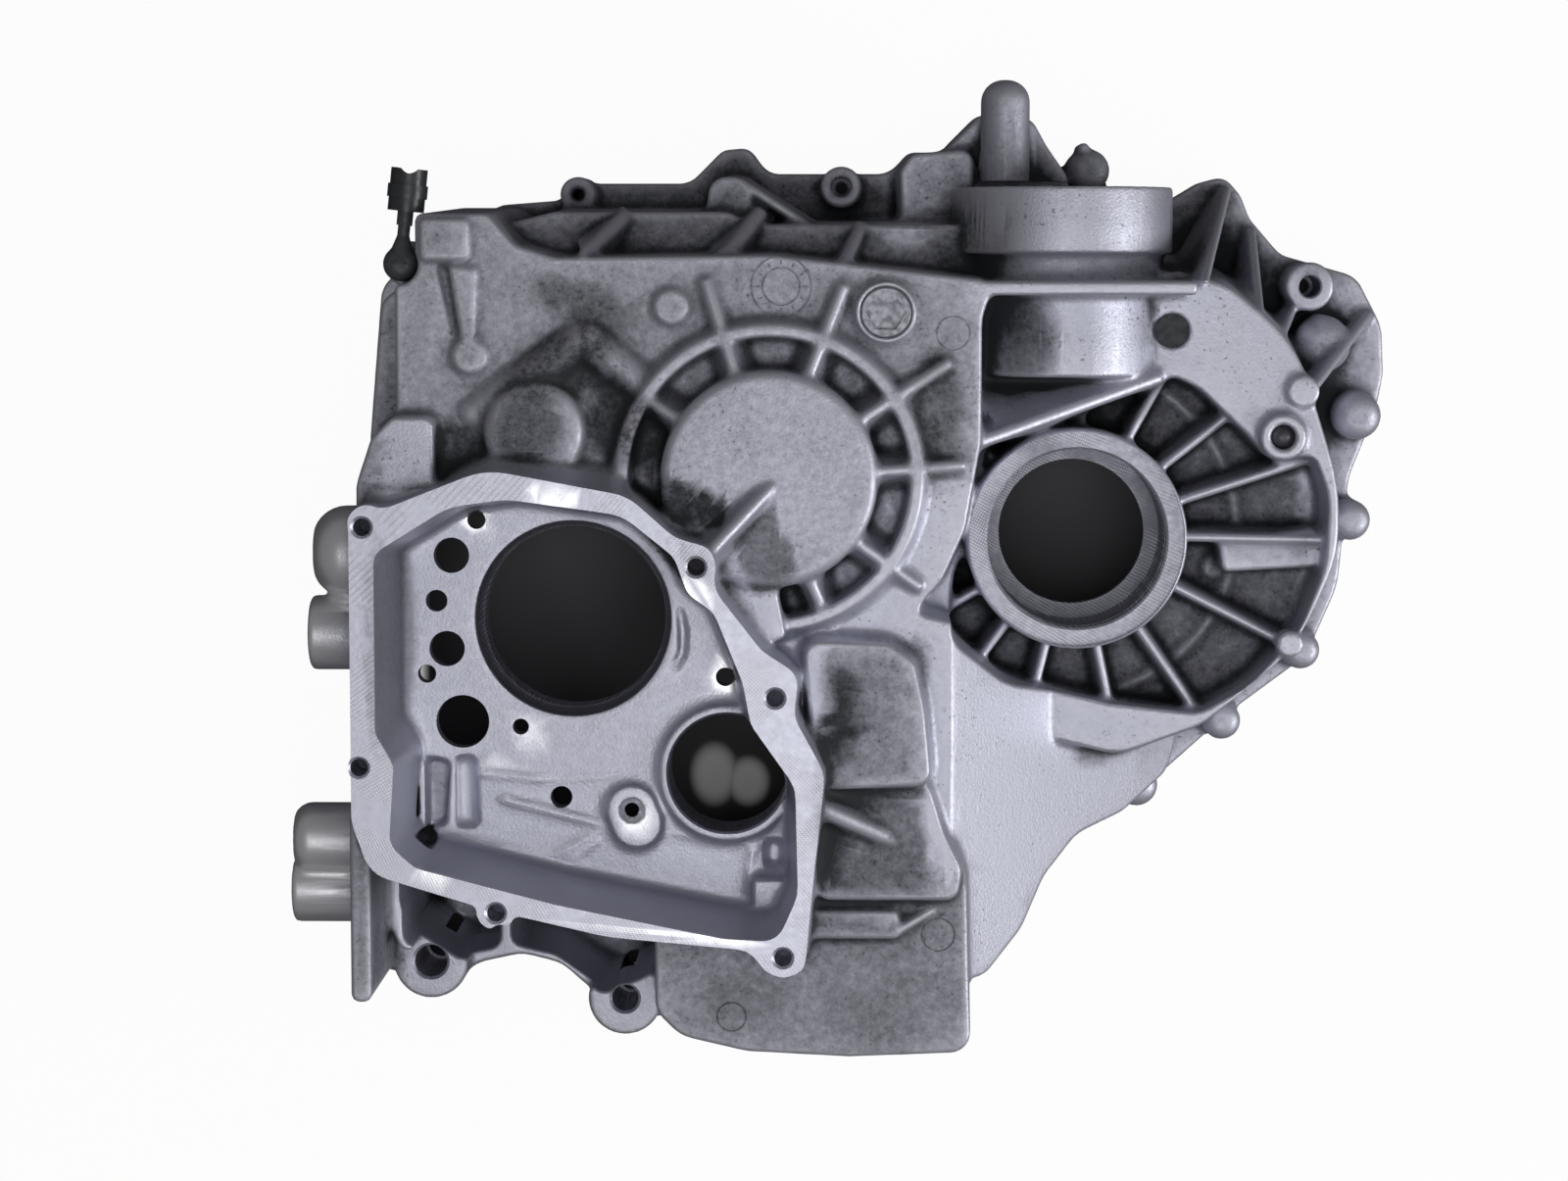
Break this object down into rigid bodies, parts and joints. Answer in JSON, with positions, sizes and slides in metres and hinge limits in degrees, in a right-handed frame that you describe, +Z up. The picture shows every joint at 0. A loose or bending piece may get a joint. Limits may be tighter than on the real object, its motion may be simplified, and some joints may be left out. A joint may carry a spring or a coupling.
{
  "type": "gearbox housing",
  "caption": "Die-cast gearbox end housing with an open valve-body chamber, bearing bores, a ribbed bearing dome and a ribbed differential case, on a flat joint flange.",
  "frame": {"origin": "centre of the overall box, on the machined joint face that the housing stands on", "axes": "+Z up from the joint face through the bearing bores, +X along the housing towards the differential case, +Y towards the breather and the cross boss"},
  "size_m": [0.4509, 0.3889, 0.185],
  "materials": {
    "cast_aluminium": "as-cast skin, machined faces and bores",
    "plug_steel": "plated",
    "core_plug_steel": "dull dark",
    "ball_steel": "ground",
    "breather_rubber": "dull",
    "breather_plastic": "moulded, slight sheen"
  },
  "bodies": {
    "root": {"gearcase_casting": "cast_aluminium", "screw_plug": "plug_steel", "core_plug": "core_plug_steel", "ball_plug": "ball_steel", "breather_stem": "breather_rubber", "breather_cap": "breather_plastic"}
  },
  "joints": []
}
